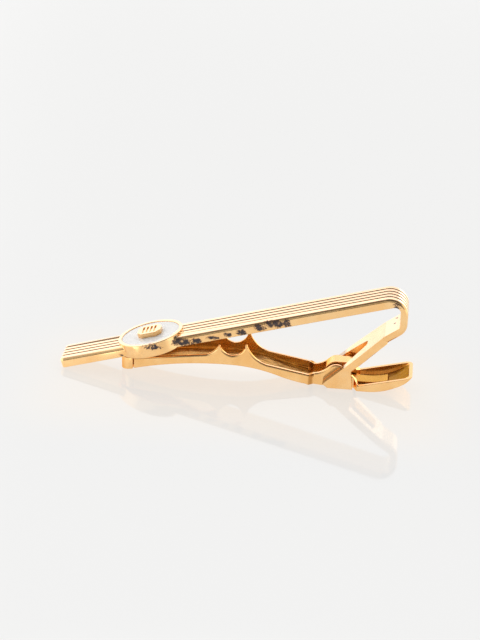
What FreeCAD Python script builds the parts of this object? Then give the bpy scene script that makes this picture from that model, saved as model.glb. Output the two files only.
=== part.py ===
import FreeCAD, Part
import math
import os
import Sketcher

# Sprung tie clip: a ribbed front bar folded back into a forked leg, and a channel-shaped jaw that
# swings on a pin through the fork. A hairpin leaf spring in the jaw's tail keeps the jaw shut.
# Frame: origin on the resting plane below the pin, +X towards the fold, +Y across the clip, +Z up.
# Lengths are in millimetres, angles in degrees.

doc = FreeCAD.newDocument("TieClip")
sizes = doc.addObject("Spreadsheet::Sheet", "Sizes")

DRIVING_SIZES = {
    # front bar
    "bar_width": 5.8,
    "bar_thick": 1.75,
    "bar_slope": 15.8,
    "tip_reach": 47.85,
    "tip_corner": 0.7,
    "bar_shoulder": 0.6,
    # fold at the end of the bar
    "fold_reach": 10.55,
    "fold_thick": 1.25,
    "fold_outer_radius": 3.1,
    "fold_inner_radius": 1.0,
    "knee_run": 2.44,
    "knee_ease": 0.243,
    "fold_drop": 4.0,
    "knee_outer_radius": 2.5,
    "knee_inner_radius": 1.0,
    "leg_bend_radius": 3.0,
    # leg and fork
    "leg_rise": 3.9,
    "leg_thick": 1.35,
    "leg_overlap": 1.2,
    "fork_lap": 0.3,
    "fork_half": 3.5,
    "fork_flare_end": 2.1,
    "slot_half": 2.15,
    "slot_root": 5.65,
    "slot_root_half": 0.45,
    "slot_root_depth": 0.35,
    "slot_straight": 0.8,
    # ears that carry the pin
    "ear_front": 1.55,
    "ear_toe": 2.05,
    "ear_heel": 2.2,
    "ear_back": 3.1,
    "ear_lift": 0.25,
    # ribs on the bar
    "rib_count": 4,
    "rib_pitch": 1.06,
    "rib_groove": 0.5,
    "rib_depth": 0.2,
    "rib_overrun": 1.0,
    "rib_rise": 0.03,
    # oval cup and its medallion
    "cup_from_tip": 16.1,
    "cup_half_length": 5.7,
    "cup_half_width": 4.8,
    "cup_rim": 0.6,
    "cup_drop": 0.1,
    "cup_proud": 0.55,
    "recess_depth": 0.9,
    "seat_gap": 0.02,
    "medallion_thick": 0.42,
    "enamel_thick": 0.36,
    "motif_half_length": 2.05,
    "motif_half_width": 1.6,
    "motif_corner": 0.8,
    "motif_relief": 0.8,
    "motif_border": 0.5,
    "motif_bar": 0.36,
    "motif_sunk": 0.26,
    "motif_flutes": 4,
    # pin
    "pin_radius": 0.6,
    "pin_height": 2.1,
    "pin_bevel": 0.12,
    "pin_cover": 0.4,
    "pin_end_gap": 0.03,
    "pin_running_gap": 0.05,
    # jaw
    "sheet_thick": 0.55,
    "jaw_half": 2.88,
    "waist_gap": 0.05,
    "tail_half": 3.37,
    "nose_setback": 10.1,
    "stop_gap": 0.1,
    "nose_low": 0.3,
    "nose_corner": 2.2,
    "relief_width": 0.2,
    "arch_apex": 18.9,
    "arch_share": 0.36,
    "arch_radius": 62.0,
    "arch_back": 11.0,
    "arch_back_height": 1.66,
    "arch_back_radius": 25.0,
    "floor_start": 1.6,
    "floor_sweep_radius": 30.0,
    "floor_end": 4.5,
    "tail_radius": 10.5,
    "tail_lip": 0.7,
    "tail_reach": 12.0,
    "tail_lip_height": 0.5006,
    "tail_top": 0.25,
    "tail_wall_gap": 0.3,
    "tail_wall_low": 1.04,
    "tail_corner": 1.3,
    "front_jog_gap": 1.5,
    "front_jog_run": 0.85,
    "rear_jog_gap": 0.15,
    "rear_jog_run": 0.6,
    # top edge of the jaw's walls, where each tooth and valley is placed from the one behind it
    "tooth_foot": 2.2,
    "tooth_foot_radius": 3.3,
    "first_tooth": 2.15,
    "first_tooth_share": 0.71,
    "tooth_flat": 0.3,
    "valley": 2.45,
    "valley_radius": 2.4,
    "second_tooth": 3.6,
    "second_tooth_share": 0.613,
    "wall_share": 0.358,
    "heel_start": 12.6,
    "heel_height": 3.45,
    "heel_radius": 5.0,
    "crimp_lap": 0.2,
    "crimp_height": 2.2,
    "lug_flank": 2.3,
    "lug_flank_height": 3.35,
    "lug_flank_radius": 4.0,
    "lug_back": 0.9,
    "lug_back_height": 3.1,
    "lug_radius": 2.0,
    # hairpin spring
    "spring_side_gap": 0.35,
    "spring_thick": 0.3,
    "spring_radius": 1.85,
    "spring_bend_back": 0.95,
    "spring_tail": 7.9,
    "spring_short": 0.66,
    "spring_gap": 0.04,
}

# The leg closes the triangle between the pin and the knee, so its gradient follows from where they are.
# Above its bend the leg leans back by the knee's ease.
DERIVED_SIZES = {
    "fold_inside": "fold_reach - fold_thick",
    "knee_corner": "(tip_reach + fold_inside) * tan(bar_slope) - fold_drop",
    "leg_bend": "fold_inside - knee_run",
    "leg_gradient": "(knee_corner - leg_rise + knee_run * knee_ease) / fold_inside",
    "leg_slope": "atan(leg_gradient)",
    "leg_bend_height": "leg_rise + leg_gradient * leg_bend",
    "knee_gradient": "leg_gradient - knee_ease",
    "knee_slope": "atan(knee_gradient)",
    "jaw_reach": "tip_reach - nose_setback",
    "arch_height": "arch_share * (tip_reach - arch_apex) * tan(bar_slope)",
    "arch_floor": "arch_height + sheet_thick",
    "second_tooth_place": "heel_start + second_tooth",
    "valley_place": "second_tooth_place + valley",
    "first_tooth_place": "valley_place + first_tooth",
    "tooth_foot_place": "first_tooth_place + tooth_foot",
    "first_tooth_room": "(tip_reach - first_tooth_place) * tan(bar_slope) - arch_floor",
    "first_tooth_rise": "first_tooth_share * first_tooth_room",
    "second_tooth_room": "(tip_reach - second_tooth_place) * tan(bar_slope) - arch_floor",
    "second_tooth_rise": "second_tooth_share * second_tooth_room",
    "waist_half": "slot_half - waist_gap",
    "front_jog_end": "ear_back + front_jog_gap",
    "front_jog_start": "front_jog_end + front_jog_run",
    "crimp_back": "front_jog_end - crimp_lap",
    "crimp_front": "front_jog_start + crimp_lap",
    "rear_jog_start": "ear_toe + rear_jog_gap",
    "rear_jog_end": "rear_jog_start + rear_jog_run",
    "tail_wall_start": "rear_jog_end + tail_wall_gap",
    "lip_start": "tail_reach - tail_lip",
    "lip_start_height": "tail_radius - sqrt(tail_radius ^ 2 - (lip_start - floor_end) ^ 2)",
    "lip_end_height": "lip_start_height + tail_lip_height",
    "tail_rim": "lip_end_height + tail_top",
    "spring_half": "waist_half - sheet_thick - spring_side_gap",
}

ENTRIES = {name: str(amount) for name, amount in DRIVING_SIZES.items()}
ENTRIES.update({name: f"={formula}" for name, formula in DERIVED_SIZES.items()})
for row, (name, entry) in enumerate(ENTRIES.items(), start=1):
    sizes.set(f"A{row}", name)
    sizes.set(f"B{row}", entry)
    sizes.setAlias(f"B{row}", name)
doc.recompute()

# Two points nearer than this are taken as one when an edge is looked up.
NEAR = 0.01
# Stock that is cut away again, and the rectangle beyond the jaw that bounds the cuts.
JAW_STOCK = "Sizes.tip_reach"
PAST_JAW = "2 * Sizes.tip_reach"


def size(name):
    return f"Sizes.{name}"


def number(expression):
    return float(sizes.evalExpression(expression))


def line_at(line, x):
    return f"({line[0]}) + ({line[1]}) * ({x})"


def meet(first, second):
    x = f"(({first[0]}) - ({second[0]})) / (({second[1]}) - ({first[1]}))"
    return x, line_at(first, x)


# Straight edges of the side view, each as its height above the pin and its gradient.
BAR_GRADIENT = "tan(Sizes.bar_slope)"
KNEE_GRADIENT = "Sizes.knee_gradient"
LEG_GRADIENT = "Sizes.leg_gradient"
BAR_UNDER = (f"Sizes.tip_reach * {BAR_GRADIENT}", BAR_GRADIENT)
BAR_TOP = (f"{BAR_UNDER[0]} + Sizes.bar_thick / cos(Sizes.bar_slope)", BAR_GRADIENT)
LEG_TOP = ("Sizes.leg_rise", LEG_GRADIENT)
LEG_UNDER = ("Sizes.leg_rise - Sizes.leg_thick / cos(Sizes.leg_slope)", LEG_GRADIENT)
KNEE_TOP = (f"Sizes.leg_bend_height - {KNEE_GRADIENT} * Sizes.leg_bend", KNEE_GRADIENT)
KNEE_UNDER = (f"{KNEE_TOP[0]} - Sizes.leg_thick / cos(Sizes.knee_slope)", KNEE_GRADIENT)
KNEE_HEIGHT = f"({line_at(KNEE_UNDER, 'Sizes.fold_reach')})"


def new_body(label):
    body = doc.addObject("PartDesign::Body", label)
    body.Label = label
    return body


def origin_plane(body, role):
    return [feature for feature in body.Origin.OriginFeatures if feature.Role == role][0]


def new_sketch(body, name, role, lift=None, offset=None, tilt=None):
    """Sketch on one of the body's own planes, lifted along its normal or shifted and tilted about Y."""
    sketch = body.newObject("Sketcher::SketchObject", name)
    sketch.AttachmentSupport = [(origin_plane(body, role), "")]
    sketch.MapMode = "FlatFace"
    if lift is not None:
        sketch.setExpression(".AttachmentOffset.Base.z", lift)
    if tilt is not None:
        turn = FreeCAD.Rotation(FreeCAD.Vector(0, 1, 0), number(tilt))
        sketch.AttachmentOffset = FreeCAD.Placement(FreeCAD.Vector(), turn)
        sketch.setExpression(".AttachmentOffset.Rotation.Angle", tilt)
        sketch.setExpression(".AttachmentOffset.Base.x", offset[0])
        sketch.setExpression(".AttachmentOffset.Base.z", offset[1])
    return sketch


def arc_through(start, end, radius, side):
    """Arc of under a half circle that bulges to the left (side 1) or right (side -1) of its travel."""
    chord = end - start
    half = chord.Length / 2
    rise = radius - math.sqrt(radius * radius - half * half)
    left = FreeCAD.Vector(-chord.y, chord.x, 0).normalize()
    return Part.Arc(start, (start + end) / 2 + left * rise * side, end)


def chain(sketch, corners, closed=False):
    """Run of lines and arcs whose corners and radii follow expressions.

    A corner is (x, y), or (x, y, radius, side) where the stretch after it is an arc.
    """
    first = sketch.GeometryCount
    places = [FreeCAD.Vector(number(corner[0]), number(corner[1]), 0) for corner in corners]
    count = len(corners) if closed else len(corners) - 1
    ends = []
    constraints = []
    bindings = []

    def bind(kind, *terms, expression=None):
        constraints.append(Sketcher.Constraint(kind, *terms))
        bindings.append(expression)

    for index in range(count):
        start = places[index]
        end = places[(index + 1) % len(places)]
        if len(corners[index]) == 2:
            sketch.addGeometry(Part.LineSegment(start, end))
            ends.append((1, 2))
        else:
            radius, side = number(corners[index][2]), corners[index][3]
            sketch.addGeometry(arc_through(start, end, radius, side))
            ends.append((1, 2) if side < 0 else (2, 1))
            bind("Radius", first + index, radius, expression=corners[index][2])
    for index in range(count):
        x, y = corners[index][:2]
        bind("DistanceX", first + index, ends[index][0], places[index].x, expression=x)
        bind("DistanceY", first + index, ends[index][0], places[index].y, expression=y)
        after = (index + 1) % len(corners)
        if after < count:
            bind("Coincident", first + index, ends[index][1], first + after, ends[after][0])
        else:
            x, y = corners[after][:2]
            bind("DistanceX", first + index, ends[index][1], places[after].x, expression=x)
            bind("DistanceY", first + index, ends[index][1], places[after].y, expression=y)
    start_index = sketch.ConstraintCount
    sketch.addConstraint(constraints)
    for index, expression in enumerate(bindings):
        if expression is not None:
            sketch.setExpression(f"Constraints[{start_index + index}]", expression)


def outline(sketch, corners):
    chain(sketch, corners, closed=True)


def mirrored_outline(sketch, upper_side):
    """Closed outline from the corners of its +Y side, listed from one end to the other."""
    lower_side = []
    for index in range(len(upper_side) - 1, -1, -1):
        x, y = upper_side[index][:2]
        bulge = upper_side[index - 1][2:] if index > 0 else ()
        lower_side.append((x, f"-({y})", *bulge))
    outline(sketch, upper_side + lower_side)


def frame_outline(sketch):
    """Rectangle beyond the whole jaw, so that a cut trims everything outside an inner outline."""
    outline(sketch, [
        (f"-{PAST_JAW}", f"-{PAST_JAW}"),
        (PAST_JAW, f"-{PAST_JAW}"),
        (PAST_JAW, PAST_JAW),
        (f"-{PAST_JAW}", PAST_JAW),
    ])


def oval(sketch, half_length, half_width):
    index = sketch.GeometryCount
    sketch.addGeometry(Part.Ellipse(FreeCAD.Vector(), number(half_length), number(half_width)))
    sketch.exposeInternalGeometry(index)
    start_index = sketch.ConstraintCount
    sketch.addConstraint([
        Sketcher.Constraint("Coincident", index, 3, -1, 1),
        Sketcher.Constraint("Horizontal", index + 1),
        Sketcher.Constraint("Distance", index + 1, 2 * number(half_length)),
        Sketcher.Constraint("Distance", index + 2, 2 * number(half_width)),
    ])
    sketch.setExpression(f"Constraints[{start_index + 2}]", f"2 * ({half_length})")
    sketch.setExpression(f"Constraints[{start_index + 3}]", f"2 * ({half_width})")


def circle(sketch, x, y, radius):
    index = sketch.GeometryCount
    centre = FreeCAD.Vector(number(x), number(y), 0)
    sketch.addGeometry(Part.Circle(centre, FreeCAD.Vector(0, 0, 1), number(radius)))
    start_index = sketch.ConstraintCount
    sketch.addConstraint([
        Sketcher.Constraint("DistanceX", index, 3, centre.x),
        Sketcher.Constraint("DistanceY", index, 3, centre.y),
        Sketcher.Constraint("Radius", index, number(radius)),
    ])
    for step, expression in enumerate((x, y, radius)):
        sketch.setExpression(f"Constraints[{start_index + step}]", expression)


def pad(body, name, sketch, length, midplane=False, reverse=False):
    feature = body.newObject("PartDesign::Pad", name)
    feature.Profile = sketch
    feature.setExpression("Length", length)
    feature.Midplane = midplane
    feature.Reversed = reverse
    doc.recompute()
    return feature


def pocket(body, name, sketch, length, midplane=False):
    """Cut that must remove material, so its direction is proved by the volume."""
    before = body.Shape.Volume
    feature = body.newObject("PartDesign::Pocket", name)
    feature.Profile = sketch
    feature.setExpression("Length", length)
    feature.Midplane = midplane
    doc.recompute()
    if not feature.Shape.Volume < before:
        raise RuntimeError(f"{name} removes nothing")
    return feature


def cross_edges(feature, x, z):
    """Names of the edges across the clip that stand at one point of the side view."""
    place = FreeCAD.Vector(x, 0, z)
    edges = enumerate(feature.Shape.Edges, start=1)
    return [f"Edge{index}" for index, edge in edges if (edge.CenterOfMass - place).Length < NEAR]


def round_edges(body, name, feature, edges, radius):
    if not edges:
        raise RuntimeError(f"{name} finds no edge")
    fillet = body.newObject("PartDesign::Fillet", name)
    fillet.Base = (feature, edges)
    fillet.setExpression("Radius", radius)
    doc.recompute()
    return fillet


def round_corner(body, name, feature, corner, radius):
    """Rounds the edge across the clip that stands at a corner of the side view."""
    edges = cross_edges(feature, number(corner[0]), number(corner[1]))
    return round_edges(body, name, feature, edges, radius)


def side_edges(feature, start, end, half_width):
    """Names of the edges on both sides of the clip that run between two points of the side view."""
    names = []
    for side in (-half_width, half_width):
        ends = [FreeCAD.Vector(number(x), side, number(z)) for x, z in (start, end)]
        for index, edge in enumerate(feature.Shape.Edges, start=1):
            points = [vertex.Point for vertex in edge.Vertexes]
            misses = [min((point - place).Length for point in points) for place in ends]
            if max(misses) < NEAR:
                names.append(f"Edge{index}")
    return names


def along_bar(distance, height):
    """Point of the side view at a distance from the tip along the bar and a height above its underside."""
    x = f"-Sizes.tip_reach + ({distance}) * cos(Sizes.bar_slope) - ({height}) * sin(Sizes.bar_slope)"
    z = f"({distance}) * sin(Sizes.bar_slope) + ({height}) * cos(Sizes.bar_slope)"
    return x, z


TIP_UNDER = along_bar("0", "0")
TIP_TOP = along_bar("0", "Sizes.bar_thick")
FOLD_CENTRE_X = "(Sizes.fold_reach - Sizes.fold_outer_radius)"
FOLD_CENTRE_Z = f"({line_at(BAR_TOP, FOLD_CENTRE_X)} - Sizes.fold_outer_radius / cos(Sizes.bar_slope))"
FOLD_START = (
    f"{FOLD_CENTRE_X} - Sizes.fold_outer_radius * sin(Sizes.bar_slope)",
    f"{FOLD_CENTRE_Z} + Sizes.fold_outer_radius * cos(Sizes.bar_slope)",
)
FOLD_END = ("Sizes.fold_reach", FOLD_CENTRE_Z)
KNEE_START = (
    "Sizes.fold_reach",
    f"{KNEE_HEIGHT} + Sizes.knee_outer_radius * (1 - sin(Sizes.knee_slope)) / cos(Sizes.knee_slope)",
)


# Heights in the cup above the bar's underside, and the half sizes of what sits in it.
CUP_RIM_HEIGHT = "Sizes.bar_thick + Sizes.cup_proud"
CUP_FLOOR_HEIGHT = f"{CUP_RIM_HEIGHT} - Sizes.recess_depth"
SEAT_HALF_LENGTH = "Sizes.cup_half_length - Sizes.cup_rim - Sizes.seat_gap"
SEAT_HALF_WIDTH = "Sizes.cup_half_width - Sizes.cup_rim - Sizes.seat_gap"


def folded_strip(body):
    """Bar, fold and the head of the leg, as one strip bent in the side view."""
    fold_inner = ("Sizes.fold_inside", line_at(BAR_UNDER, "Sizes.fold_inside"))
    fold_outer = ("Sizes.fold_reach", line_at(BAR_TOP, "Sizes.fold_reach"))
    knee_inner = ("Sizes.fold_inside", "Sizes.knee_corner")
    knee_outer = ("Sizes.fold_reach", KNEE_HEIGHT)
    leg_inner = ("Sizes.leg_bend", "Sizes.leg_bend_height")
    leg_outer = meet(KNEE_UNDER, LEG_UNDER)
    leg_end = "(Sizes.leg_bend - Sizes.leg_overlap)"
    sketch = new_sketch(body, "StripSide", "XZ_Plane")
    outline(sketch, [
        TIP_UNDER,
        fold_inner,
        knee_inner,
        leg_inner,
        (leg_end, line_at(LEG_TOP, leg_end)),
        (leg_end, line_at(LEG_UNDER, leg_end)),
        leg_outer,
        knee_outer,
        fold_outer,
        TIP_TOP,
    ])
    strip = pad(body, "Strip", sketch, size("bar_width"), midplane=True)
    bends = [
        ("FoldOutside", fold_outer, "fold_outer_radius"),
        ("FoldInside", fold_inner, "fold_inner_radius"),
        ("KneeOutside", knee_outer, "knee_outer_radius"),
        ("KneeInside", knee_inner, "knee_inner_radius"),
        ("LegBendInside", leg_inner, "leg_bend_radius"),
        ("LegBendOutside", leg_outer, "leg_bend_radius"),
    ]
    for name, corner, radius in bends:
        strip = round_corner(body, name, strip, corner, size(radius))
    return strip


def round_bar(body, strip):
    """Rounds the tip in plan, then the whole top rim of the bar, which runs on about the fold."""
    half = number("Sizes.bar_width / 2")
    tip_edges = side_edges(strip, TIP_UNDER, TIP_TOP, half)
    strip = round_edges(body, "TipCorners", strip, tip_edges, size("tip_corner"))
    rim_start = along_bar("Sizes.tip_corner", "Sizes.bar_thick")
    rim_edges = side_edges(strip, rim_start, FOLD_START, half)
    return round_edges(body, "Shoulders", strip, rim_edges, size("bar_shoulder"))


def rib_groove(body, name, start, path_points):
    """V groove swept along the bar's top through side-view points, on the outermost rib line."""
    first_line = "-Sizes.rib_pitch * (Sizes.rib_count - 1) / 2"
    path = new_sketch(body, f"{name}Path", "XZ_Plane", lift=f"-({first_line})")
    chain(path, path_points)
    section = body.newObject("Sketcher::SketchObject", f"{name}Section")
    section.AttachmentSupport = [(origin_plane(body, "YZ_Plane"), "")]
    section.MapMode = "FlatFace"
    turn = FreeCAD.Rotation(FreeCAD.Vector(1, 0, 0), -number(size("bar_slope")))
    section.AttachmentOffset = FreeCAD.Placement(FreeCAD.Vector(), turn)
    section.setExpression(".AttachmentOffset.Rotation.Angle", "Sizes.bar_slope")
    section.setExpression(".AttachmentOffset.Base.x", first_line)
    section.setExpression(".AttachmentOffset.Base.y", start[1])
    section.setExpression(".AttachmentOffset.Base.z", start[0])
    outline(section, [
        ("0", "-Sizes.rib_depth"),
        ("Sizes.rib_groove / 2", "Sizes.rib_rise"),
        ("-Sizes.rib_groove / 2", "Sizes.rib_rise"),
    ])
    doc.recompute()
    groove = body.newObject("PartDesign::SubtractivePipe", name)
    groove.Profile = section
    edges = [f"Edge{index}" for index in range(1, len(path.Shape.Edges) + 1)]
    groove.Spine = (path, edges)
    doc.recompute()
    return groove


def ribs(body):
    """Grooves between the ribs, from the tip along the bar and round the fold; the cup then covers a part."""
    before = body.Shape.Volume
    start = along_bar("-Sizes.rib_overrun", "Sizes.bar_thick")
    fold_arc = (FOLD_START[0], FOLD_START[1], "Sizes.fold_outer_radius", 1)
    groove = rib_groove(body, "Groove", start, [start, fold_arc, FOLD_END, KNEE_START])
    across = [axis for axis in body.Origin.OriginFeatures if axis.Role == "Y_Axis"][0]
    pattern = body.newObject("PartDesign::LinearPattern", "Ribs")
    pattern.Originals = [groove]
    pattern.Direction = (across, [""])
    pattern.setExpression("Length", "Sizes.rib_pitch * (Sizes.rib_count - 1)")
    pattern.setExpression("Occurrences", size("rib_count"))
    body.Tip = pattern
    doc.recompute()
    if not pattern.Shape.Volume < before:
        raise RuntimeError("the ribs remove nothing")


def cup(body):
    """Oval cup round the bar, from just below its underside to proud of its top."""
    foot = new_sketch(body, "CupFoot", "XY_Plane", offset=along_bar(size("cup_from_tip"), "-Sizes.cup_drop"),
                      tilt="-Sizes.bar_slope")
    oval(foot, size("cup_half_length"), size("cup_half_width"))
    pad(body, "Cup", foot, "Sizes.bar_thick + Sizes.cup_drop + Sizes.cup_proud")
    rim = new_sketch(body, "CupRim", "XY_Plane", offset=along_bar(size("cup_from_tip"), CUP_RIM_HEIGHT),
                     tilt="-Sizes.bar_slope")
    oval(rim, "Sizes.cup_half_length - Sizes.cup_rim", "Sizes.cup_half_width - Sizes.cup_rim")
    pocket(body, "Recess", rim, size("recess_depth"))


def fork(body):
    """Leg split into two prongs that spread to straddle the jaw; drawn on the leg's upper face."""
    sketch = new_sketch(body, "ForkFace", "XY_Plane", offset=("0", "Sizes.leg_rise"), tilt="-Sizes.leg_slope")
    along_leg = "cos(Sizes.leg_slope)"
    heel = f"-Sizes.ear_heel / {along_leg}"
    mirrored_outline(sketch, [
        ("Sizes.slot_root", "Sizes.slot_root_half"),
        ("Sizes.slot_root - Sizes.slot_root_depth", "Sizes.slot_root_half + Sizes.slot_root_depth"),
        ("Sizes.slot_straight", "Sizes.slot_half"),
        (heel, "Sizes.slot_half"),
        (heel, "Sizes.fork_half"),
        ("Sizes.fork_flare_end", "Sizes.fork_half"),
        (f"(Sizes.leg_bend - Sizes.fork_lap) / {along_leg}", "Sizes.bar_width / 2"),
    ])
    pad(body, "Fork", sketch, size("leg_thick"), reverse=True)


def ears(body):
    """Plates below the prongs that carry the pin, one on each side of the jaw."""
    sketch = new_sketch(body, "EarSide", "XZ_Plane", lift=size("slot_half"))
    outline(sketch, [
        ("-Sizes.ear_back", line_at(LEG_TOP, "-Sizes.ear_back")),
        ("-Sizes.ear_heel", "Sizes.ear_lift"),
        ("Sizes.ear_toe", "Sizes.ear_lift"),
        ("Sizes.ear_front", line_at(LEG_TOP, "Sizes.ear_front")),
    ])
    ear = pad(body, "Ear", sketch, "Sizes.fork_half - Sizes.slot_half")
    mirror = body.newObject("PartDesign::Mirrored", "OtherEar")
    mirror.Originals = [ear]
    mirror.MirrorPlane = (origin_plane(body, "XZ_Plane"), [""])
    body.Tip = mirror
    doc.recompute()


def pin_hole(body, name, radius):
    """Hole for the pin, which stops short of the ears' outer faces."""
    sketch = new_sketch(body, f"{name}Side", "XZ_Plane")
    circle(sketch, "0", "Sizes.pin_height", radius)
    pocket(body, name, sketch, "2 * (Sizes.fork_half - Sizes.pin_cover)", midplane=True)


def front_bar():
    body = new_body("front_bar")
    strip = folded_strip(body)
    round_bar(body, strip)
    ribs(body)
    cup(body)
    fork(body)
    ears(body)
    pin_hole(body, "PinSeat", size("pin_radius"))
    return body


def on_cup_axis(body, height):
    """Stands a body on the cup's axis, a height above the bar's underside, square to the bar."""
    x, z = along_bar(size("cup_from_tip"), height)
    turn = FreeCAD.Rotation(FreeCAD.Vector(0, 1, 0), -number(size("bar_slope")))
    body.Placement = FreeCAD.Placement(FreeCAD.Vector(), turn)
    body.setExpression(".Placement.Rotation.Angle", "-Sizes.bar_slope")
    body.setExpression(".Placement.Base.x", x)
    body.setExpression(".Placement.Base.z", z)


def motif_corners():
    """Plain elongated octagon."""
    length = "Sizes.motif_half_length"
    width = "Sizes.motif_half_width"
    return [
        (f"-{length}", f"{width} - Sizes.motif_corner"),
        (f"-{length} + Sizes.motif_corner", width),
        (f"{length} - Sizes.motif_corner", width),
        (length, f"{width} - Sizes.motif_corner"),
    ]


def medallion():
    body = new_body("medallion")
    base = new_sketch(body, "PlateOutline", "XY_Plane")
    oval(base, SEAT_HALF_LENGTH, SEAT_HALF_WIDTH)
    pad(body, "Plate", base, size("medallion_thick"))
    motif = new_sketch(body, "MotifOutline", "XY_Plane", lift=size("medallion_thick"))
    mirrored_outline(motif, motif_corners())
    pad(body, "Motif", motif, "Sizes.enamel_thick + Sizes.motif_relief")
    top = "Sizes.medallion_thick + Sizes.enamel_thick + Sizes.motif_relief"
    flutes = new_sketch(body, "FluteOutline", "XY_Plane", lift=top)
    reach = "(Sizes.motif_half_width - Sizes.motif_border)"
    first = "(-Sizes.motif_half_length + Sizes.motif_border + Sizes.motif_bar)"
    outline(flutes, [
        (first, f"-{reach}"),
        (f"{first} + Sizes.motif_bar", f"-{reach}"),
        (f"{first} + Sizes.motif_bar", reach),
        (first, reach),
    ])
    flute = pocket(body, "Flute", flutes, size("motif_sunk"))
    along = [axis for axis in body.Origin.OriginFeatures if axis.Role == "X_Axis"][0]
    pattern = body.newObject("PartDesign::LinearPattern", "Flutes")
    pattern.Originals = [flute]
    pattern.Direction = (along, [""])
    pattern.setExpression("Length", f"-2 * ({first} + Sizes.motif_bar / 2)")
    pattern.setExpression("Occurrences", size("motif_flutes"))
    body.Tip = pattern
    on_cup_axis(body, CUP_FLOOR_HEIGHT)
    doc.recompute()
    return body


def enamel_fill():
    body = new_body("enamel_fill")
    sketch = new_sketch(body, "FieldOutline", "XY_Plane")
    oval(sketch, SEAT_HALF_LENGTH, SEAT_HALF_WIDTH)
    mirrored_outline(sketch, motif_corners())
    pad(body, "Field", sketch, size("enamel_thick"))
    on_cup_axis(body, f"{CUP_FLOOR_HEIGHT} + Sizes.medallion_thick")
    doc.recompute()
    return body


def pivot_pin():
    body = new_body("pivot_pin")
    sketch = new_sketch(body, "PinSection", "XZ_Plane")
    circle(sketch, "0", "Sizes.pin_height", size("pin_radius"))
    half = "(Sizes.fork_half - Sizes.pin_cover - Sizes.pin_end_gap)"
    shank = pad(body, "Shank", sketch, f"2 * {half}", midplane=True)
    rims = [f"Edge{index}" for index, edge in enumerate(shank.Shape.Edges, start=1) if edge.isClosed()]
    bevel = body.newObject("PartDesign::Chamfer", "PinBevel")
    bevel.Base = (shank, rims)
    bevel.setExpression("Size", size("pin_bevel"))
    doc.recompute()
    return body


def floor_arc_height(x):
    """Height of the tail's upswept floor at a distance from the pin."""
    run = f"(({x}) - Sizes.floor_end)"
    return f"Sizes.tail_radius - sqrt(Sizes.tail_radius ^ 2 - {run} ^ 2)"


def jaw_underside(rise="0"):
    """Underside of the jaw in the side view from nose to tail, or its floor's upper face."""
    return [
        ("-Sizes.jaw_reach", f"Sizes.nose_low + {rise}", "Sizes.arch_radius", 1),
        ("-Sizes.arch_apex", f"Sizes.arch_height + {rise}", "Sizes.arch_back_radius", 1),
        ("-Sizes.arch_back", f"Sizes.arch_back_height + {rise}", "Sizes.floor_sweep_radius", -1),
        ("-Sizes.floor_start", rise),
        ("Sizes.floor_end", rise, "Sizes.tail_radius", -1),
        ("Sizes.lip_start", f"Sizes.lip_start_height + {rise}"),
        ("Sizes.tail_reach", f"Sizes.lip_end_height + {rise}"),
    ]


def jaw_top():
    """Top edge of the jaw's walls in the side view from tail to nose, with its lug and two teeth."""
    cup_under = f"({line_at(BAR_UNDER, '-Sizes.jaw_reach')} - Sizes.cup_drop / cos(Sizes.bar_slope))"
    nose_top = f"{cup_under} - Sizes.stop_gap"
    half_flat = "Sizes.tooth_flat / 2"
    first_end = f"-Sizes.first_tooth_place - {half_flat}"
    first_height = "Sizes.arch_floor + Sizes.first_tooth_rise"
    second_end = f"-Sizes.second_tooth_place - {half_flat}"
    second_height = "Sizes.arch_floor + Sizes.second_tooth_rise"
    return [
        ("Sizes.tail_reach", "Sizes.tail_rim"),
        ("Sizes.tail_wall_start", "Sizes.tail_wall_low"),
        ("Sizes.lug_back", "Sizes.lug_back_height", "Sizes.lug_radius", -1),
        ("-Sizes.lug_flank", "Sizes.lug_flank_height", "Sizes.lug_flank_radius", 1),
        ("-Sizes.crimp_back", "Sizes.crimp_height"),
        ("-Sizes.crimp_front", "Sizes.crimp_height"),
        ("-Sizes.heel_start", "Sizes.heel_height", "Sizes.heel_radius", 1),
        (f"-Sizes.second_tooth_place + {half_flat}", second_height),
        (second_end, second_height, "Sizes.valley_radius", 1),
        ("-Sizes.valley_place", "Sizes.arch_floor + Sizes.wall_share * Sizes.second_tooth_rise",
         "Sizes.valley_radius", 1),
        (f"-Sizes.first_tooth_place + {half_flat}", first_height),
        (first_end, first_height, "Sizes.tooth_foot_radius", 1),
        ("-Sizes.tooth_foot_place", "Sizes.arch_floor + Sizes.wall_share * Sizes.first_tooth_rise"),
        ("-Sizes.jaw_reach", nose_top),
    ]


def jaw_plan_outside():
    """Outer edge of the channel in plan, with its drawn-in waist."""
    return [
        ("-Sizes.jaw_reach", "Sizes.jaw_half - Sizes.nose_corner", "Sizes.nose_corner", 1),
        ("-Sizes.jaw_reach + Sizes.nose_corner", "Sizes.jaw_half"),
        ("-Sizes.front_jog_start", "Sizes.jaw_half"),
        ("-Sizes.front_jog_end", "Sizes.waist_half"),
        ("Sizes.rear_jog_start", "Sizes.waist_half"),
        ("Sizes.rear_jog_end", "Sizes.tail_half"),
        ("Sizes.tail_reach - Sizes.tail_corner", "Sizes.tail_half", "Sizes.tail_corner", 1),
        ("Sizes.tail_reach", "Sizes.tail_half - Sizes.tail_corner"),
    ]


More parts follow.
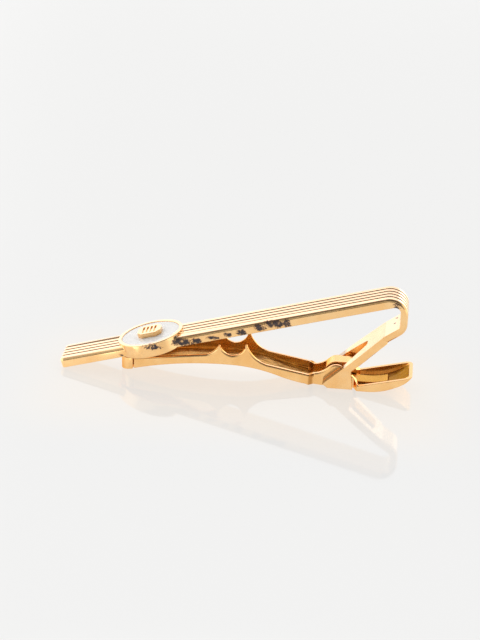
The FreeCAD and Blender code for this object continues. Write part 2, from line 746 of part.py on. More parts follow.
def jaw_plan_inside():
    """Inner edge of the channel in plan, one sheet thickness inside the outer edge."""
    sheet = "Sizes.sheet_thick"
    front_angle = "atan((Sizes.jaw_half - Sizes.waist_half) / (Sizes.front_jog_start - Sizes.front_jog_end))"
    rear_angle = "atan((Sizes.tail_half - Sizes.waist_half) / (Sizes.rear_jog_end - Sizes.rear_jog_start))"
    front_shift = f"{sheet} * tan({front_angle} / 2)"
    rear_shift = f"{sheet} * tan({rear_angle} / 2)"
    nose_corner = f"(Sizes.nose_corner - {sheet})"
    tail_corner = f"(Sizes.tail_corner - {sheet})"
    return [
        (f"-Sizes.jaw_reach + {sheet}", "Sizes.jaw_half - Sizes.nose_corner", nose_corner, 1),
        ("-Sizes.jaw_reach + Sizes.nose_corner", f"Sizes.jaw_half - {sheet}"),
        (f"-Sizes.front_jog_start - {front_shift}", f"Sizes.jaw_half - {sheet}"),
        (f"-Sizes.front_jog_end - {front_shift}", f"Sizes.waist_half - {sheet}"),
        (f"Sizes.rear_jog_start + {rear_shift}", f"Sizes.waist_half - {sheet}"),
        (f"Sizes.rear_jog_end + {rear_shift}", f"Sizes.tail_half - {sheet}"),
        ("Sizes.tail_reach - Sizes.tail_corner", f"Sizes.tail_half - {sheet}", tail_corner, 1),
        (f"Sizes.tail_reach - {sheet}", "Sizes.tail_half - Sizes.tail_corner"),
    ]


def jaw():
    body = new_body("jaw")
    block_plan = new_sketch(body, "BlockPlan", "XY_Plane")
    mirrored_outline(block_plan, jaw_plan_outside())
    pad(body, "Block", block_plan, JAW_STOCK, midplane=True)

    above_floor = new_sketch(body, "AboveFloor", "XZ_Plane")
    outline(above_floor, jaw_underside("Sizes.sheet_thick") + [
        (PAST_JAW, "Sizes.lip_end_height + Sizes.sheet_thick"),
        (PAST_JAW, PAST_JAW),
        (f"-{PAST_JAW}", PAST_JAW),
        (f"-{PAST_JAW}", "Sizes.nose_low + Sizes.sheet_thick"),
    ])
    pocket(body, "ClearFloor", above_floor, JAW_STOCK, midplane=True)

    wall_plan = new_sketch(body, "WallPlan", "XY_Plane")
    mirrored_outline(wall_plan, jaw_plan_outside())
    mirrored_outline(wall_plan, jaw_plan_inside())
    pad(body, "Walls", wall_plan, JAW_STOCK, midplane=True)

    side = new_sketch(body, "SideTrim", "XZ_Plane")
    frame_outline(side)
    outline(side, jaw_underside() + jaw_top())
    pocket(body, "TrimSide", side, JAW_STOCK, midplane=True)

    reliefs = new_sketch(body, "NoseReliefPlan", "XY_Plane")
    behind_nose = "(-Sizes.jaw_reach + Sizes.nose_corner)"
    for side_sign in ("", "-"):
        outline(reliefs, [
            (behind_nose, f"{side_sign}(Sizes.jaw_half - Sizes.sheet_thick)"),
            (f"{behind_nose} + Sizes.relief_width", f"{side_sign}(Sizes.jaw_half - Sizes.sheet_thick)"),
            (f"{behind_nose} + Sizes.relief_width", f"{side_sign}(Sizes.jaw_half + Sizes.sheet_thick)"),
            (behind_nose, f"{side_sign}(Sizes.jaw_half + Sizes.sheet_thick)"),
        ])
    pocket(body, "NoseReliefs", reliefs, JAW_STOCK, midplane=True)
    pin_hole(body, "PinBore", "Sizes.pin_radius + Sizes.pin_running_gap")
    return body


def hairpin_spring():
    """Flat strip that lies on the tail's floor, turns about the pin and bears under the leg."""
    body = new_body("hairpin_spring")
    sketch = new_sketch(body, "StripSide", "XZ_Plane")
    low = "(Sizes.sheet_thick + Sizes.spring_gap)"
    high = f"({low} + 2 * Sizes.spring_radius)"
    middle = f"({low} + Sizes.spring_radius)"
    inside = "(Sizes.spring_radius - Sizes.spring_thick)"
    tail_rise = f"({floor_arc_height('Sizes.spring_tail')})"
    lean = "cos(Sizes.leg_slope)"
    bearing = (f"{LEG_UNDER[0]} - Sizes.spring_gap / {lean}", LEG_GRADIENT)
    lower_bearing = (f"{bearing[0]} - Sizes.spring_thick / {lean}", LEG_GRADIENT)
    upper_x = "(Sizes.leg_bend - Sizes.spring_short)"
    upper_end = (upper_x, line_at(bearing, upper_x))
    lower_end = (
        f"{upper_x} + Sizes.spring_thick * sin(Sizes.leg_slope)",
        f"{upper_end[1]} - Sizes.spring_thick * cos(Sizes.leg_slope)",
    )
    outline(sketch, [
        ("Sizes.spring_tail", f"{low} + {tail_rise}", "Sizes.tail_radius", 1),
        ("Sizes.floor_end", low),
        ("-Sizes.spring_bend_back", low, "Sizes.spring_radius", 1),
        ("-Sizes.spring_bend_back - Sizes.spring_radius", middle, "Sizes.spring_radius", 1),
        ("-Sizes.spring_bend_back", high),
        meet((high, "0"), bearing),
        upper_end,
        lower_end,
        meet((f"{high} - Sizes.spring_thick", "0"), lower_bearing),
        ("-Sizes.spring_bend_back", f"{high} - Sizes.spring_thick", inside, -1),
        (f"-Sizes.spring_bend_back - {inside}", middle, inside, -1),
        ("-Sizes.spring_bend_back", f"{low} + Sizes.spring_thick"),
        ("Sizes.floor_end", f"{low} + Sizes.spring_thick", "Sizes.tail_radius", -1),
        ("Sizes.spring_tail", f"{low} + {tail_rise} + Sizes.spring_thick"),
    ])
    pad(body, "Leaf", sketch, "2 * Sizes.spring_half", midplane=True)
    return body


def check_and_write(bodies):
    doc.recompute()
    for item in doc.Objects:
        if "Invalid" in item.State or "Error" in item.State:
            raise RuntimeError(f"{item.Name} failed: {item.State}")
    for body in bodies:
        if body.Shape.isNull() or not body.Shape.isValid() or len(body.Shape.Solids) != 1:
            raise RuntimeError(f"{body.Label} has no single valid solid")
    os.makedirs("parts", exist_ok=True)
    for body in bodies:
        body.Shape.exportStep(f"parts/{body.Label}.step")
        box = body.Shape.BoundBox
        print(f"{body.Label}: volume {body.Shape.Volume:.2f} mm3, X {box.XMin:.2f} to {box.XMax:.2f},"
              f" Y {box.YMin:.2f} to {box.YMax:.2f}, Z {box.ZMin:.2f} to {box.ZMax:.2f}")


check_and_write([
    front_bar(),
    medallion(),
    enamel_fill(),
    pivot_pin(),
    jaw(),
    hairpin_spring(),
])
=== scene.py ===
import math

import bmesh
import bpy
from mathutils import Matrix, Vector


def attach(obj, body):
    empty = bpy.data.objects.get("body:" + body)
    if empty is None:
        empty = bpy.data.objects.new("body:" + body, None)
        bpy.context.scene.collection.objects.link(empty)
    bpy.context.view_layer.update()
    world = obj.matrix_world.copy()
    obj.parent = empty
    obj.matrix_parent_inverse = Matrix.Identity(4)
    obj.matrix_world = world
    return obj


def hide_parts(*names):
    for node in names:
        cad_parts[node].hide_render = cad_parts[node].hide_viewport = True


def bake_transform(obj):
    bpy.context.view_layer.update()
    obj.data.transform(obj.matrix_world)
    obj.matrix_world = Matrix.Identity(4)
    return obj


# Gilt tie clip on a glossy white table. Lengths are in metres, in the part's own frame: X runs along the
# clip towards its fold, Y across it and Z up.
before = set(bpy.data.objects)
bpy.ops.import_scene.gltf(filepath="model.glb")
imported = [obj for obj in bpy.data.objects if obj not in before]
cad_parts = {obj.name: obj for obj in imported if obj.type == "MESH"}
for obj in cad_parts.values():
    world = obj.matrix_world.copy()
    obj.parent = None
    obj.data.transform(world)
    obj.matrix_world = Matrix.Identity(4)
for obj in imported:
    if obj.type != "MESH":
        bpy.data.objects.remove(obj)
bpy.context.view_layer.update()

MM = 0.001

# Cleaning and rounding of the meshes
WELD = 0.003 * MM
WELD_AFTER_BEVEL = 0.001 * MM
FLAT = math.radians(0.4)
HARD = math.radians(28)
CREASE = math.radians(26)
STRAIGHT = math.radians(25)
BEVEL_SEGMENTS = 4
BEVEL_ROOM = 1.15

# Stretches along the clip, in millimetres
CHANNEL_SIDES = (-35.4, -5.9)
TAIL_SIDES = (2.6, 10.0)
JAW_RIM = (-35.4, 10.5)
PRONGS = (-3.6, 6.5)
FORK = (-4.0, 7.6)
FORK_CORNER = (3.4, 4.4)

# Limits across the clip and above the table, in millimetres
PRONG_INSIDE = 2.6
RIBBED_HALF = 1.95
FORK_TOP = 12.0

# The jaw's channel, in millimetres
TAIL_START = 5.0
TAIL_DARK = 8.5
LIP_START = 11.42
WAIST_MIDDLE = -1.3
WAIST_HALF_LENGTH = 4.2
WAIST_FADE = 0.4
FLOOR_HALF = 2.25
WAIST_FLOOR_HALF = 1.5
NECK = -5.15

# Colours
WHITE = (1.0, 1.0, 1.0, 1.0)
GOLD = (0.98, 0.60, 0.25, 1.0)
PALE_GOLD = (1.0, 0.69, 0.34, 1.0)
DEEP_GOLD = (0.90, 0.49, 0.16, 1.0)
# Painted shade for the spring's arm down in the tail's channel.
SHADED_GOLD = (0.56, 0.30, 0.07, 1.0)
# Painted highlight for faces that look up.
TOP_HIGHLIGHT_GOLD = (1.0, 0.66, 0.43, 1.0)
# Painted light and shade in the jaw's channel: amber for the lit walls, browns for the shaded floor, the
# tail and the neck.
AMBER = (0.86, 0.46, 0.12, 1.0)
PALE_AMBER = (1.0, 0.70, 0.26, 1.0)
DARK_BROWN = (0.16, 0.07, 0.02, 1.0)
PALE_BROWN = (0.62, 0.36, 0.13, 1.0)
TAIL_BROWN = (0.20, 0.085, 0.008, 1.0)
NECK_BROWN = (0.50, 0.22, 0.045, 1.0)
# Painted shade for the bar's grooves and the prongs' ends.
GROOVE_SHADE = (0.10, 0.05, 0.02, 1.0)
TARNISH = (0.062, 0.032, 0.032, 1.0)
TARNISH_EDGE = (0.24, 0.10, 0.045, 1.0)
ENAMEL_SHADE = (0.86, 0.845, 0.825, 1.0)
ENAMEL_WHITE = (0.92, 0.91, 0.895, 1.0)
TABLE_GREY = (0.15, 0.15, 0.15, 1.0)
TABLE_PALE = (0.16, 0.159, 0.158, 1.0)
TABLE_GLOW = (1.0, 1.0, 0.995, 1.0)
TABLE_WARM = (1.0, 0.95, 0.89, 1.0)
STUDIO_WHITE = (1.0, 0.995, 0.985, 1.0)

# Tarnish on the bar: centre and half sizes in millimetres, and strength
BAR_PATCHES = [
    ((-27.2, -2.9, 6.7), (3.4, 1.2, 1.1), 1.0),
    ((-24.6, -2.9, 7.1), (1.6, 1.0, 0.8), 1.0),
    ((-21.9, -2.9, 7.9), (1.5, 0.8, 0.5), 1.0),
    ((-19.4, -2.9, 8.7), (1.1, 0.8, 0.7), 1.0),
    ((-17.1, -2.9, 9.4), (1.3, 0.8, 1.0), 1.0),
    ((-14.0, -2.9, 10.5), (1.5, 0.8, 1.0), 1.0),
    ((-11.6, -2.9, 11.4), (3.3, 1.0, 1.1), 1.0),
    ((-9.6, -2.9, 11.6), (1.3, 1.0, 1.2), 1.0),
    ((8.6, -2.9, 16.3), (1.1, 0.8, 0.9), 0.9),
    ((-31.8, -4.7, 6.25), (3.0, 1.0, 0.9), 0.82),
    ((-37.6, -2.8, 3.4), (0.7, 1.0, 0.4), 0.8),
    ((8.65, 2.0, 11.7), (0.4, 0.5, 0.35), 0.9),
    ((8.4, 0.3, 11.5), (0.35, 0.45, 0.35), 0.9),
    ((-14.0, 2.9, 10.4), (2.6, 0.8, 0.8), 1.0),
    ((4.0, 2.9, 15.5), (1.8, 0.8, 0.8), 1.0),
]

# Camera: degrees, millimetres
CAMERA_AZIMUTH = 5.3528
CAMERA_ELEVATION = 26.0
CAMERA_ROLL = 1.7973
CAMERA_PLACE = (7.573, -269.397, 142.183)
CAMERA_LENS = 100.03
CAMERA_SENSOR = 36.0
CAMERA_CLIP_START = 10.0

TABLE_REACH = 3.0


# Meshes

def within(edge, stretch):
    """True where the edge lies inside a stretch along the clip."""
    low, high = stretch
    return all(low * MM < vert.co.x < high * MM for vert in edge.verts)


def outer_wall(edge):
    """The face beside the edge that looks out to a side of the clip, if there is one."""
    for face in edge.link_faces:
        if abs(face.normal.y) > 0.5 and face.normal.y * face.calc_center_median().y > 0:
            return face
    return None


def straight_on(edge, other, vert):
    """True where the other edge carries the first one on past the corner they share."""
    ahead = vert.co - edge.other_vert(vert).co
    onward = other.other_vert(vert).co - vert.co
    return ahead.angle(onward, math.pi) < STRAIGHT


def roomy(edge, width, chosen):
    """True where the edges that meet this one are long enough for its rounding to end on them."""
    for vert in edge.verts:
        for other in vert.link_edges:
            carried_on = other in chosen and straight_on(edge, other, vert)
            if other is not edge and not carried_on and other.calc_length() < BEVEL_ROOM * width:
                return False
    return True


def under_edge(edge):
    """Outer edge along the jaw's underside, where the sheet turns up into a wall."""
    beside_wall = within(edge, CHANNEL_SIDES) or within(edge, TAIL_SIDES)
    return beside_wall and outer_wall(edge) and any(face.normal.z < -0.5 for face in edge.link_faces)


def rim_edge(edge):
    """Outer edge along the top of the jaw's walls."""
    tops = [face for face in edge.link_faces if face.normal.z > 0.01 and abs(face.normal.y) < 0.3]
    return within(edge, JAW_RIM) and outer_wall(edge) and tops


def prong_edge(edge):
    """Outer edge of the fork and its ears."""
    wide = all(abs(vert.co.y) > PRONG_INSIDE * MM for vert in edge.verts)
    return edge.is_convex and within(edge, PRONGS) and wide


def groove_edge(edge):
    """Edge of a groove between the ribs, along the bar and round its fold."""
    in_fork = within(edge, FORK) and all(vert.co.z < FORK_TOP * MM for vert in edge.verts)
    return not in_fork and all(abs(vert.co.y) < RIBBED_HALF * MM for vert in edge.verts)


def ridge(edge):
    """Any outward edge but those crowded into the corner of the fork."""
    return edge.is_convex and not within(edge, FORK_CORNER)


def round_edges(bm, rule, width):
    """Rounds the hard edges that the rule picks."""
    hard = [edge for edge in bm.edges if edge.is_manifold and edge.calc_face_angle() > HARD]
    chosen = {edge for edge in hard if rule(edge)}
    rounded = [edge for edge in hard if edge in chosen and roomy(edge, width, chosen)]
    bmesh.ops.bevel(bm, geom=rounded, offset=width, segments=BEVEL_SEGMENTS, profile=0.5, affect="EDGES")
    bmesh.ops.remove_doubles(bm, verts=bm.verts, dist=WELD_AFTER_BEVEL)


def rounded_piece(node, body, rounding):
    """The node's shape with its hard edges rounded off by small real radii, one rule after another."""
    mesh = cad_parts[node].data.copy()
    mesh.name = f"{node}_rounded"
    mesh.materials.clear()
    bm = bmesh.new()
    bm.from_mesh(mesh)
    bmesh.ops.remove_doubles(bm, verts=bm.verts, dist=WELD)
    bmesh.ops.dissolve_limit(bm, angle_limit=FLAT, verts=bm.verts, edges=bm.edges)
    for rule, width in rounding:
        round_edges(bm, rule, width * MM)
    bmesh.ops.recalc_face_normals(bm, faces=bm.faces)
    for face in bm.faces:
        face.smooth = True
    bm.to_mesh(mesh)
    bm.free()
    mesh.set_sharp_from_angle(angle=CREASE)
    piece = bpy.data.objects.new(f"{node}_finished", mesh)
    bpy.context.scene.collection.objects.link(piece)
    even = piece.modifiers.new("EvenShading", "WEIGHTED_NORMAL")
    even.keep_sharp = True
    even.weight = 100
    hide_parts(node)
    if body:
        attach(piece, body)
    return piece


# Materials

class Nodes:
    """Short calls for building a node tree."""

    def __init__(self, tree):
        self.tree = tree

    def add(self, kind, **settings):
        node = self.tree.nodes.new(kind)
        for name, value in settings.items():
            setattr(node, name, value)
        return node

    def put(self, socket, value):
        """Links an output to the socket, or sets the socket to a plain value."""
        if isinstance(value, bpy.types.NodeSocket):
            self.tree.links.new(value, socket)
        else:
            socket.default_value = value

    def maths(self, operation, *values, clamp=False):
        node = self.add("ShaderNodeMath", operation=operation, use_clamp=clamp)
        for socket, value in zip(node.inputs, values):
            self.put(socket, value)
        return node.outputs[0]

    def product(self, first, *others):
        for other in others:
            first = self.maths("MULTIPLY", first, other)
        return first

    def most(self, first, *others):
        for other in others:
            first = self.maths("MAXIMUM", first, other)
        return first

    def vector(self, operation, *values):
        node = self.add("ShaderNodeVectorMath", operation=operation)
        for socket, value in zip(node.inputs, values):
            self.put(socket, value)
        return node.outputs["Value"] if operation == "LENGTH" else node.outputs[0]

    def split(self, vector):
        """The vector's X, Y and Z."""
        node = self.add("ShaderNodeSeparateXYZ")
        self.put(node.inputs[0], vector)
        return tuple(node.outputs)

    def ramp(self, value, low, high, to_low=0.0, to_high=1.0):
        """Eases from to_low, where the value is low or less, to to_high, where it is high or more."""
        node = self.add("ShaderNodeMapRange", interpolation_type="SMOOTHSTEP")
        for socket, amount in zip(node.inputs, (value, low, high, to_low, to_high)):
            self.put(socket, amount)
        return node.outputs[0]

    def fade(self, value, full, end, level=1.0):
        """The level up to full, easing to 0 at end."""
        return self.ramp(value, full, end, level, 0.0)

    def band(self, value, start, full, fading, end, level=1.0):
        """The level from full to fading, easing to 0 at start and at end."""
        return self.product(self.ramp(value, start, full, 0.0, level), self.fade(value, fading, end))

    def mix(self, share, first, second):
        """The first colour, with that share of the second."""
        node = self.add("ShaderNodeMix", data_type="RGBA")
        self.put(node.inputs[0], share)
        self.put(node.inputs[6], first)
        self.put(node.inputs[7], second)
        return node.outputs[2]

    def noise(self, place, scale, detail=3.0, roughness=0.55):
        node = self.add("ShaderNodeTexNoise")
        self.put(node.inputs["Vector"], place)
        node.inputs["Scale"].default_value = scale
        node.inputs["Detail"].default_value = detail
        node.inputs["Roughness"].default_value = roughness
        return node.outputs[0]

    def stretched_noise(self, place, stretch, scale, detail):
        """Noise drawn out along the clip."""
        return self.noise(self.vector("MULTIPLY", place, (stretch, 1.0, 1.0)), scale, detail)

    def bump(self, height, strength, distance):
        node = self.add("ShaderNodeBump")
        self.put(node.inputs["Height"], height)
        node.inputs["Strength"].default_value = strength
        node.inputs["Distance"].default_value = distance
        return node.outputs[0]


def new_material(name):
    material = bpy.data.materials.new(name)
    material.use_nodes = True
    nodes = Nodes(material.node_tree)
    shader = material.node_tree.nodes["Principled BSDF"]
    place = nodes.add("ShaderNodeTexCoord").outputs["Object"]
    return material, nodes, shader, place


def cloudy_gold(nodes, place):
    """Gold whose tone drifts a little from place to place."""
    clouds = nodes.noise(place, scale=260.0, detail=4.0)
    tone = nodes.mix(nodes.ramp(clouds, 0.35, 0.68), DEEP_GOLD, PALE_GOLD)
    return nodes.mix(0.55, tone, GOLD)


def pit_mask(nodes, place):
    """Faint small pits, in some places only."""
    cells = nodes.add("ShaderNodeTexVoronoi", feature="F1")
    nodes.put(cells.inputs["Vector"], place)
    cells.inputs["Scale"].default_value = 720.0
    pitted = nodes.ramp(nodes.noise(place, scale=330.0, detail=2.0), 0.64, 0.74)
    return nodes.product(nodes.fade(cells.outputs["Distance"], 0.10, 0.20, level=0.06), pitted)


def patches_mask(nodes, place, patches):
    """Soft union of ellipsoids, each given as centre and half sizes in millimetres and a strength."""
    insides = []
    for centre, half, strength in patches:
        offset = nodes.vector("SUBTRACT", place, [value * MM for value in centre])
        scaled = nodes.vector("DIVIDE", offset, [value * MM for value in half])
        insides.append(nodes.fade(nodes.vector("LENGTH", scaled), 0.25, 1.15, strength))
    return nodes.most(*insides)


def tarnish_masks(nodes, place, patches):
    """Ragged stains in the patches, and the wider halo round each stain."""
    ragged = nodes.maths("MULTIPLY_ADD", nodes.noise(place, 1900.0, 7.0, 0.75), 3.4, -2.0)
    field = nodes.maths("MULTIPLY_ADD", patches_mask(nodes, place, patches), 1.1, ragged)
    return nodes.ramp(field, 0.46, 0.70), nodes.ramp(field, 0.24, 0.54)


def channel_masks(nodes, place, facing):
    """Masks of the channel's inner walls and of its floor, 0 on the jaw's outside and on its edges."""
    x, y, _ = nodes.split(place)
    to_x, to_y, to_z = nodes.split(facing)
    before_lip = nodes.maths("LESS_THAN", x, LIP_START * MM)
    in_tail = nodes.maths("GREATER_THAN", x, TAIL_START * MM)
    outward = nodes.product(to_y, nodes.maths("SIGN", y))
    side_wall = nodes.fade(outward, -0.8, -0.5)
    end_wall = nodes.product(nodes.fade(to_x, -0.6, -0.3), in_tail)
    from_waist = nodes.maths("ABSOLUTE", nodes.maths("SUBTRACT", x, WAIST_MIDDLE * MM))
    waist_end = WAIST_HALF_LENGTH + WAIST_FADE
    past_waist = nodes.ramp(from_waist, WAIST_HALF_LENGTH * MM, waist_end * MM)
    widening = FLOOR_HALF - WAIST_FLOOR_HALF
    floor_half = nodes.maths("MULTIPLY_ADD", past_waist, widening * MM, WAIST_FLOOR_HALF * MM)
    on_floor = nodes.maths("LESS_THAN", nodes.maths("ABSOLUTE", y), floor_half)
    walls = nodes.product(before_lip, nodes.most(end_wall, side_wall))
    return walls, nodes.product(before_lip, nodes.ramp(to_z, 0.35, 0.6), on_floor)


def channel_light_and_shade(nodes, place, facing, colour):
    """Painted light and shade in the channel: streaky lit amber walls and a shaded brown floor, darker in
    the tail and at the neck.
    """
    x, _, _ = nodes.split(place)
    walls, floor = channel_masks(nodes, place, facing)
    streaks = nodes.stretched_noise(place, 0.03, scale=2000.0, detail=3.0)
    amber = nodes.mix(nodes.ramp(streaks, 0.3, 0.7), AMBER, PALE_AMBER)
    brown = nodes.mix(nodes.ramp(streaks, 0.38, 0.66), DARK_BROWN, PALE_BROWN)
    brown = nodes.mix(nodes.ramp(x, TAIL_START * MM, TAIL_DARK * MM, 0.0, 0.92), brown, TAIL_BROWN)
    # Painted light on the walls, painted shade on the floor, in the tail and at the neck.
    colour = nodes.mix(nodes.product(walls, 0.9), colour, amber)
    colour = nodes.mix(nodes.product(floor, 0.9), colour, brown)
    from_neck = nodes.maths("ABSOLUTE", nodes.maths("SUBTRACT", x, NECK * MM))
    colour = nodes.mix(nodes.fade(from_neck, 0.15 * MM, 0.50 * MM, level=0.8), colour, NECK_BROWN)
    return colour, nodes.product(nodes.most(walls, floor), 0.12)


def groove_shade(nodes, place, facing, colour):
    """Painted shade on the slanting sides of the grooves and on the prongs' ends, down in the jaw."""
    x, y, _ = nodes.split(place)
    to_x, to_y, _ = nodes.split(facing)
    slanting = nodes.band(nodes.maths("ABSOLUTE", to_y), 0.40, 0.60, 0.85, 0.95)
    ribbed = nodes.maths("LESS_THAN", nodes.maths("ABSOLUTE", y), RIBBED_HALF * MM)
    at_ears = nodes.band(x, -4.4 * MM, -4.0 * MM, 0.2 * MM, 0.8 * MM)
    prong_end = nodes.product(nodes.fade(to_x, -0.60, -0.45, level=0.9), at_ears)
    painted_shade = nodes.most(nodes.product(slanting, ribbed), prong_end)
    return nodes.mix(nodes.product(painted_shade, 0.75), colour, GROOVE_SHADE), 0.0


def spring_arm_shade(nodes, place, facing, colour):
    """Painted shade: darker gold on the spring's arm along the tail, where it lies down in the channel."""
    x, _, _ = nodes.split(place)
    return nodes.mix(nodes.ramp(x, 1.5 * MM, 3.0 * MM, 0.0, 0.9), colour, SHADED_GOLD), 0.0


def gilt(name, top_highlight, rough=0.16, coat=0.6, glance=WHITE, painted_shading=None, patches=()):
    """Polished gold plating: cloudy, faintly pitted and stroked, with a painted highlight that makes it
    paler where it faces up.

    The painted shading changes the colour and adds to the roughness, and the patches are where the gold has
    tarnished.
    """
    material, nodes, shader, place = new_material(name)
    facing = nodes.add("ShaderNodeNewGeometry").outputs["Normal"]
    upward = nodes.split(facing)[2]
    # Painted highlight: faces that look up are made paler.
    colour = nodes.mix(nodes.ramp(upward, 0.62, 0.86, 0.0, top_highlight), cloudy_gold(nodes, place), TOP_HIGHLIGHT_GOLD)
    dullness = nodes.noise(place, scale=900.0, detail=4.0)
    gloss = nodes.ramp(dullness, 0.3, 0.75, 0.75 * rough, 1.5 * rough)
    # Painted light and shade, laid over the gold's colour by place and facing.
    if painted_shading:
        colour, added = painted_shading(nodes, place, facing, colour)
        gloss = nodes.maths("ADD", gloss, added)
    worn = pit_mask(nodes, place)
    if patches:
        stain, halo = tarnish_masks(nodes, place, patches)
        colour = nodes.mix(nodes.product(halo, 0.75), colour, TARNISH_EDGE)
        worn = nodes.most(worn, stain)
    nodes.put(shader.inputs["Base Color"], nodes.mix(worn, colour, TARNISH))
    nodes.put(shader.inputs["Metallic"], nodes.ramp(worn, 0.2, 0.8, 1.0, 0.15))
    nodes.put(shader.inputs["Roughness"], nodes.maths("MULTIPLY_ADD", worn, 0.45, gloss, clamp=True))
    grain = nodes.noise(place, scale=5200.0, detail=2.0)
    strokes = nodes.stretched_noise(place, 0.12, scale=6500.0, detail=2.0)
    relief = nodes.maths("MULTIPLY_ADD", grain, 0.5, strokes)
    nodes.put(shader.inputs["Normal"], nodes.bump(relief, strength=0.16, distance=0.02 * MM))
    shader.inputs["Specular Tint"].default_value = glance
    shader.inputs["Coat Weight"].default_value = coat
    shader.inputs["Coat Roughness"].default_value = 0.06
    shader.inputs["Coat IOR"].default_value = 1.6
    return material


def enamel(name):
    """Glossy white enamel, a little uneven in its tone and its surface."""
    material, nodes, shader, place = new_material(name)
    clouds = nodes.noise(place, scale=420.0, detail=4.0)
    colour = nodes.mix(nodes.ramp(clouds, 0.35, 0.7), ENAMEL_SHADE, ENAMEL_WHITE)
    nodes.put(shader.inputs["Base Color"], colour)
    nodes.put(shader.inputs["Roughness"], nodes.ramp(nodes.noise(place, scale=1500.0), 0.3, 0.7, 0.08, 0.2))
    nodes.put(shader.inputs["Normal"], nodes.bump(clouds, strength=0.2, distance=0.05 * MM))
    return material


# Pieces

bar_gilt = gilt("gilt_bar", top_highlight=0.8, painted_shading=groove_shade, patches=BAR_PATCHES)
jaw_gilt = gilt("gilt_jaw", top_highlight=0.7, coat=0.1, glance=GOLD, painted_shading=channel_light_and_shade)
small_gilt = gilt("gilt_small", top_highlight=0.6, rough=0.14)
spring_gilt = gilt("gilt_spring", top_highlight=0.5, rough=0.24, coat=0.1, glance=GOLD, painted_shading=spring_arm_shade)
white_enamel = enamel("white_enamel")

# Node, body, material, slot, and the roundings in millimetres
PIECES = [
    ("front_bar", "front", bar_gilt, "gilt_bar", [(groove_edge, 0.08), (prong_edge, 0.20), (ridge, 0.10)]),
    ("medallion", "front", small_gilt, "gilt_medallion", [(ridge, 0.05)]),
    ("enamel_fill", "front", white_enamel, "white_enamel", [(ridge, 0.03)]),
    ("pivot_pin", "front", small_gilt, "gilt_pin", [(ridge, 0.04)]),
    ("jaw", "jaw", jaw_gilt, "gilt_jaw", [(under_edge, 0.24), (rim_edge, 0.30), (ridge, 0.06)]),
]
for node, body, material, slot, rounding in PIECES:
    piece = rounded_piece(node, body, rounding)
    piece.data.materials.append(material)

# The spring is attached to no body; its placement is baked into its mesh.
spring = rounded_piece("hairpin_spring", None, [(ridge, 0.05)])
spring.data.materials.append(spring_gilt)
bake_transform(spring)


# Table, light and camera

def table_seen(nodes, place):
    """How much of the table's own white shows: to the camera, through glass, and more in reflections."""
    x, y, _ = nodes.split(place)
    rays = nodes.add("ShaderNodeLightPath").outputs
    beside_nose = nodes.product(nodes.fade(x, -52.0 * MM, -40.0 * MM, level=0.30),
                                nodes.ramp(y, -14.0 * MM, -8.0 * MM))
    from_card = nodes.vector("LENGTH", nodes.vector("SUBTRACT", place, (-42.0 * MM, -12.0 * MM, 0.0)))
    card = nodes.fade(from_card, 1.2 * MM, 3.4 * MM, level=2.4)
    cards = nodes.maths("ADD", nodes.maths("ADD", beside_nose, 1.12), card)
    sheen = nodes.product(rays["Is Glossy Ray"], cards)
    return nodes.most(rays["Is Camera Ray"], sheen, rays["Is Transmission Ray"])


def white_acrylic():
    """Glossy white sheet, a little warmer and brighter where the clip's gold shines on it."""
    material, nodes, shader, place = new_material("white_acrylic")
    x, y, _ = nodes.split(place)
    faint = nodes.noise(place, scale=9.0, detail=2.0)
    nodes.put(shader.inputs["Base Color"], nodes.mix(faint, TABLE_GREY, TABLE_PALE))
    shader.inputs["Roughness"].default_value = 0.06
    shader.inputs["IOR"].default_value = 1.45
    aside = nodes.maths("ABSOLUTE", nodes.maths("ADD", y, 4.0 * MM))
    beneath = nodes.product(nodes.fade(aside, 6.0 * MM, 26.0 * MM),
                            nodes.band(x, -60.0 * MM, -42.0 * MM, 10.0 * MM, 26.0 * MM))
    nodes.put(shader.inputs["Emission Color"], nodes.mix(beneath, TABLE_GLOW, TABLE_WARM))
    whiteness = nodes.ramp(y, -120.0 * MM, 300.0 * MM, 0.69, 0.52)
    brightened = nodes.product(whiteness, nodes.maths("MULTIPLY_ADD", beneath, 0.08, 1.0))
    nodes.put(shader.inputs["Emission Strength"], nodes.product(table_seen(nodes, place), brightened))
    return material


def table():
    mesh = bpy.data.meshes.new("table_top")
    corners = [(x * TABLE_REACH, y * TABLE_REACH, 0) for x, y in ((-1, -1), (1, -1), (1, 1), (-1, 1))]
    mesh.from_pydata(corners, [], [(0, 1, 2, 3)])
    mesh.materials.append(white_acrylic())
    top = bpy.data.objects.new("table_top", mesh)
    bpy.context.scene.collection.objects.link(top)


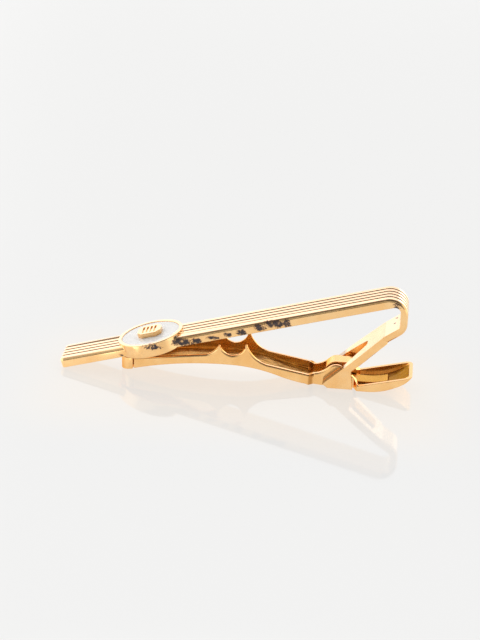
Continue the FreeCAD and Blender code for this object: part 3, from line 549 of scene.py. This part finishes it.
def studio():
    """Soft light by direction: behind, from both sides, a strip and a corner card behind, and the front."""
    world = bpy.data.worlds.new("studio")
    bpy.context.scene.world = world
    world.use_nodes = True
    nodes = Nodes(world.node_tree)
    across, depth, height = nodes.split(nodes.add("ShaderNodeTexCoord").outputs["Generated"])
    raised = nodes.product(nodes.fade(across, -0.40, -0.16, level=0.4), nodes.ramp(height, 0.05, 0.22))
    behind = nodes.product(nodes.ramp(depth, 0.05, 0.50, 0.10, 1.2), nodes.maths("ADD", raised, 1.0),
                           nodes.ramp(height, 0.46, 0.62, 1.0, 1.2))
    left = nodes.fade(across, -0.85, -0.30, level=1.6)
    right = nodes.ramp(across, 0.60, 0.92, 0.0, 1.1)
    strip = nodes.product(nodes.band(height, 0.55, 0.62, 0.70, 0.78, level=2.6),
                          nodes.fade(nodes.maths("ABSOLUTE", across), 0.30, 0.42),
                          nodes.ramp(depth, 0.15, 0.35))
    corner = nodes.product(nodes.band(across, 0.26, 0.36, 0.55, 0.70, level=3.0),
                           nodes.fade(height, 0.30, 0.42), nodes.ramp(depth, 0.40, 0.60))
    front = nodes.product(nodes.band(height, 0.25, 0.31, 0.52, 0.58),
                          nodes.fade(depth, -0.78, -0.58, level=0.65))
    background = world.node_tree.nodes["Background"]
    background.inputs["Color"].default_value = STUDIO_WHITE
    nodes.put(background.inputs["Strength"], nodes.most(behind, left, right, strip, corner, front))


def camera():
    """The photograph's viewpoint, with its small roll."""
    azimuth = math.radians(CAMERA_AZIMUTH)
    elevation = math.radians(CAMERA_ELEVATION)
    roll = math.radians(CAMERA_ROLL)
    ahead = Vector((-math.sin(azimuth) * math.cos(elevation), math.cos(azimuth) * math.cos(elevation),
                    -math.sin(elevation)))
    level_right = Vector((math.cos(azimuth), math.sin(azimuth), 0.0))
    level_up = level_right.cross(ahead)
    right = math.cos(roll) * level_right + math.sin(roll) * level_up
    up = math.cos(roll) * level_up - math.sin(roll) * level_right
    data = bpy.data.cameras.new("camera")
    data.lens = CAMERA_LENS
    data.sensor_width = CAMERA_SENSOR
    data.clip_start = CAMERA_CLIP_START * MM
    view = bpy.data.objects.new("camera", data)
    turn = Matrix((right, up, -ahead)).transposed().to_4x4()
    view.matrix_world = Matrix.Translation(Vector(CAMERA_PLACE) * MM) @ turn
    bpy.context.scene.collection.objects.link(view)
    bpy.context.scene.camera = view


table()
studio()
camera()
bpy.context.scene.view_settings.view_transform = "Standard"
